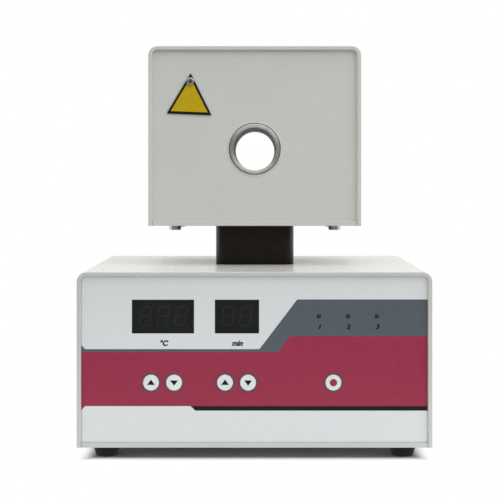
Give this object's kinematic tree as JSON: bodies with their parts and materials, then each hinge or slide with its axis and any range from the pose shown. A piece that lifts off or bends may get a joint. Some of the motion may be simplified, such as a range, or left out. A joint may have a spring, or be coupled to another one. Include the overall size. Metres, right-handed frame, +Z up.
{
  "type": "denture injection heater",
  "caption": "Bench heater: a box head on a short post above a control case with display windows and round keys. An open heated tube runs through the head.",
  "frame": {"origin": "on the floor under the centre of the control case", "axes": "+Z up, the front faces -Y, +X to the right seen from the front"},
  "size_m": [0.251, 0.1729, 0.2991],
  "materials": {
    "case_paint": "satin",
    "heater_paint": "satin",
    "panel_paint": "satin",
    "film": "satin",
    "window": "gloss",
    "display_housing": "matte",
    "display_segments": "matte",
    "lamps": "gloss",
    "keys": "satin",
    "black_plastic": "matte",
    "boards": "satin",
    "zinc_steel": "satin",
    "screws": "satin",
    "tube": "satin",
    "brass": "satin",
    "phenolic": "satin",
    "rubber": "matte",
    "fuse_glass": "gloss",
    "core_steel": "matte",
    "aluminium": "satin",
    "terminal_plastic": "satin",
    "ceramic": "matte",
    "fibre": "matte",
    "lead_insulation": "matte",
    "yellow_paint": "satin"
  },
  "bodies": {
    "heater": {"case_cover": "case_paint", "case_tray": "case_paint", "front_panel": "panel_paint", "front_film": "film", "temperature_window": "window", "time_window": "window", "temperature_display": "display_housing", "time_display": "display_housing", "display_digits": "display_segments", "indicator_lamps": "lamps", "key_switches": "black_plastic", "control_board": "boards", "control_board_spacers": "brass", "microcontroller": "black_plastic", "buzzer": "black_plastic", "power_board": "boards", "power_board_spacers": "brass", "board_screws": "screws", "transformer": "core_steel", "filter_capacitor": "aluminium", "heat_sink": "aluminium", "triac": "black_plastic", "terminal_block": "terminal_plastic", "rear_panel": "panel_paint", "power_inlet": "black_plastic", "inlet_blades": "brass", "inlet_screws": "screws", "rubber_feet": "rubber", "foot_screws": "screws", "cover_screws": "screws", "panel_brackets": "zinc_steel", "post": "phenolic", "post_plate": "zinc_steel", "post_screws": "screws", "heater_cover": "heater_paint", "heater_tray": "heater_paint", "heater_front_panel": "heater_paint", "heater_rear_panel": "heater_paint", "heating_tube": "tube", "tube_rings": "zinc_steel", "tube_cradles": "zinc_steel", "heater_bolts": "screws", "heater_nuts": "screws", "band_heater": "tube", "band_screw": "screws", "insulation_sleeve": "fibre", "thermocouple": "tube", "ceramic_block": "ceramic", "heater_leads": "lead_insulation", "sensor_lead": "lead_insulation", "triangle_plate": "yellow_paint", "plate_screw": "screws"},
    "temperature_up_key": {"temperature_up_key": "keys"},
    "temperature_down_key": {"temperature_down_key": "keys"},
    "time_up_key": {"time_up_key": "keys"},
    "time_down_key": {"time_down_key": "keys"},
    "timer_key": {"timer_key": "keys"},
    "power_rocker": {"power_rocker": "black_plastic"},
    "fuse_drawer": {"fuse_drawer": "black_plastic", "glass_fuse": "fuse_glass"}
  },
  "joints": [
    {"name": "temperature_up_key_press", "type": "slide", "parent": "heater", "child": "temperature_up_key", "axis": [0, 1, 0], "range_m": [0, 0.0005], "stiffness_N_per_m": 800, "springref_m": -0.001},
    {"name": "temperature_down_key_press", "type": "slide", "parent": "heater", "child": "temperature_down_key", "axis": [0, 1, 0], "range_m": [0, 0.0005], "stiffness_N_per_m": 800, "springref_m": -0.001},
    {"name": "time_up_key_press", "type": "slide", "parent": "heater", "child": "time_up_key", "axis": [0, 1, 0], "range_m": [0, 0.0005], "stiffness_N_per_m": 800, "springref_m": -0.001},
    {"name": "time_down_key_press", "type": "slide", "parent": "heater", "child": "time_down_key", "axis": [0, 1, 0], "range_m": [0, 0.0005], "stiffness_N_per_m": 800, "springref_m": -0.001},
    {"name": "timer_key_press", "type": "slide", "parent": "heater", "child": "timer_key", "axis": [0, 1, 0], "range_m": [0, 0.0005], "stiffness_N_per_m": 800, "springref_m": -0.001},
    {"name": "power_switch", "type": "hinge", "parent": "heater", "child": "power_rocker", "pos_m": [0.07, 0.081, 0.0917], "axis": [0, 0, -1], "range_deg": [0, 14]},
    {"name": "fuse_drawer_slide", "type": "slide", "parent": "heater", "child": "fuse_drawer", "axis": [0, 1, 0], "range_m": [0, 0.012]}
  ]
}
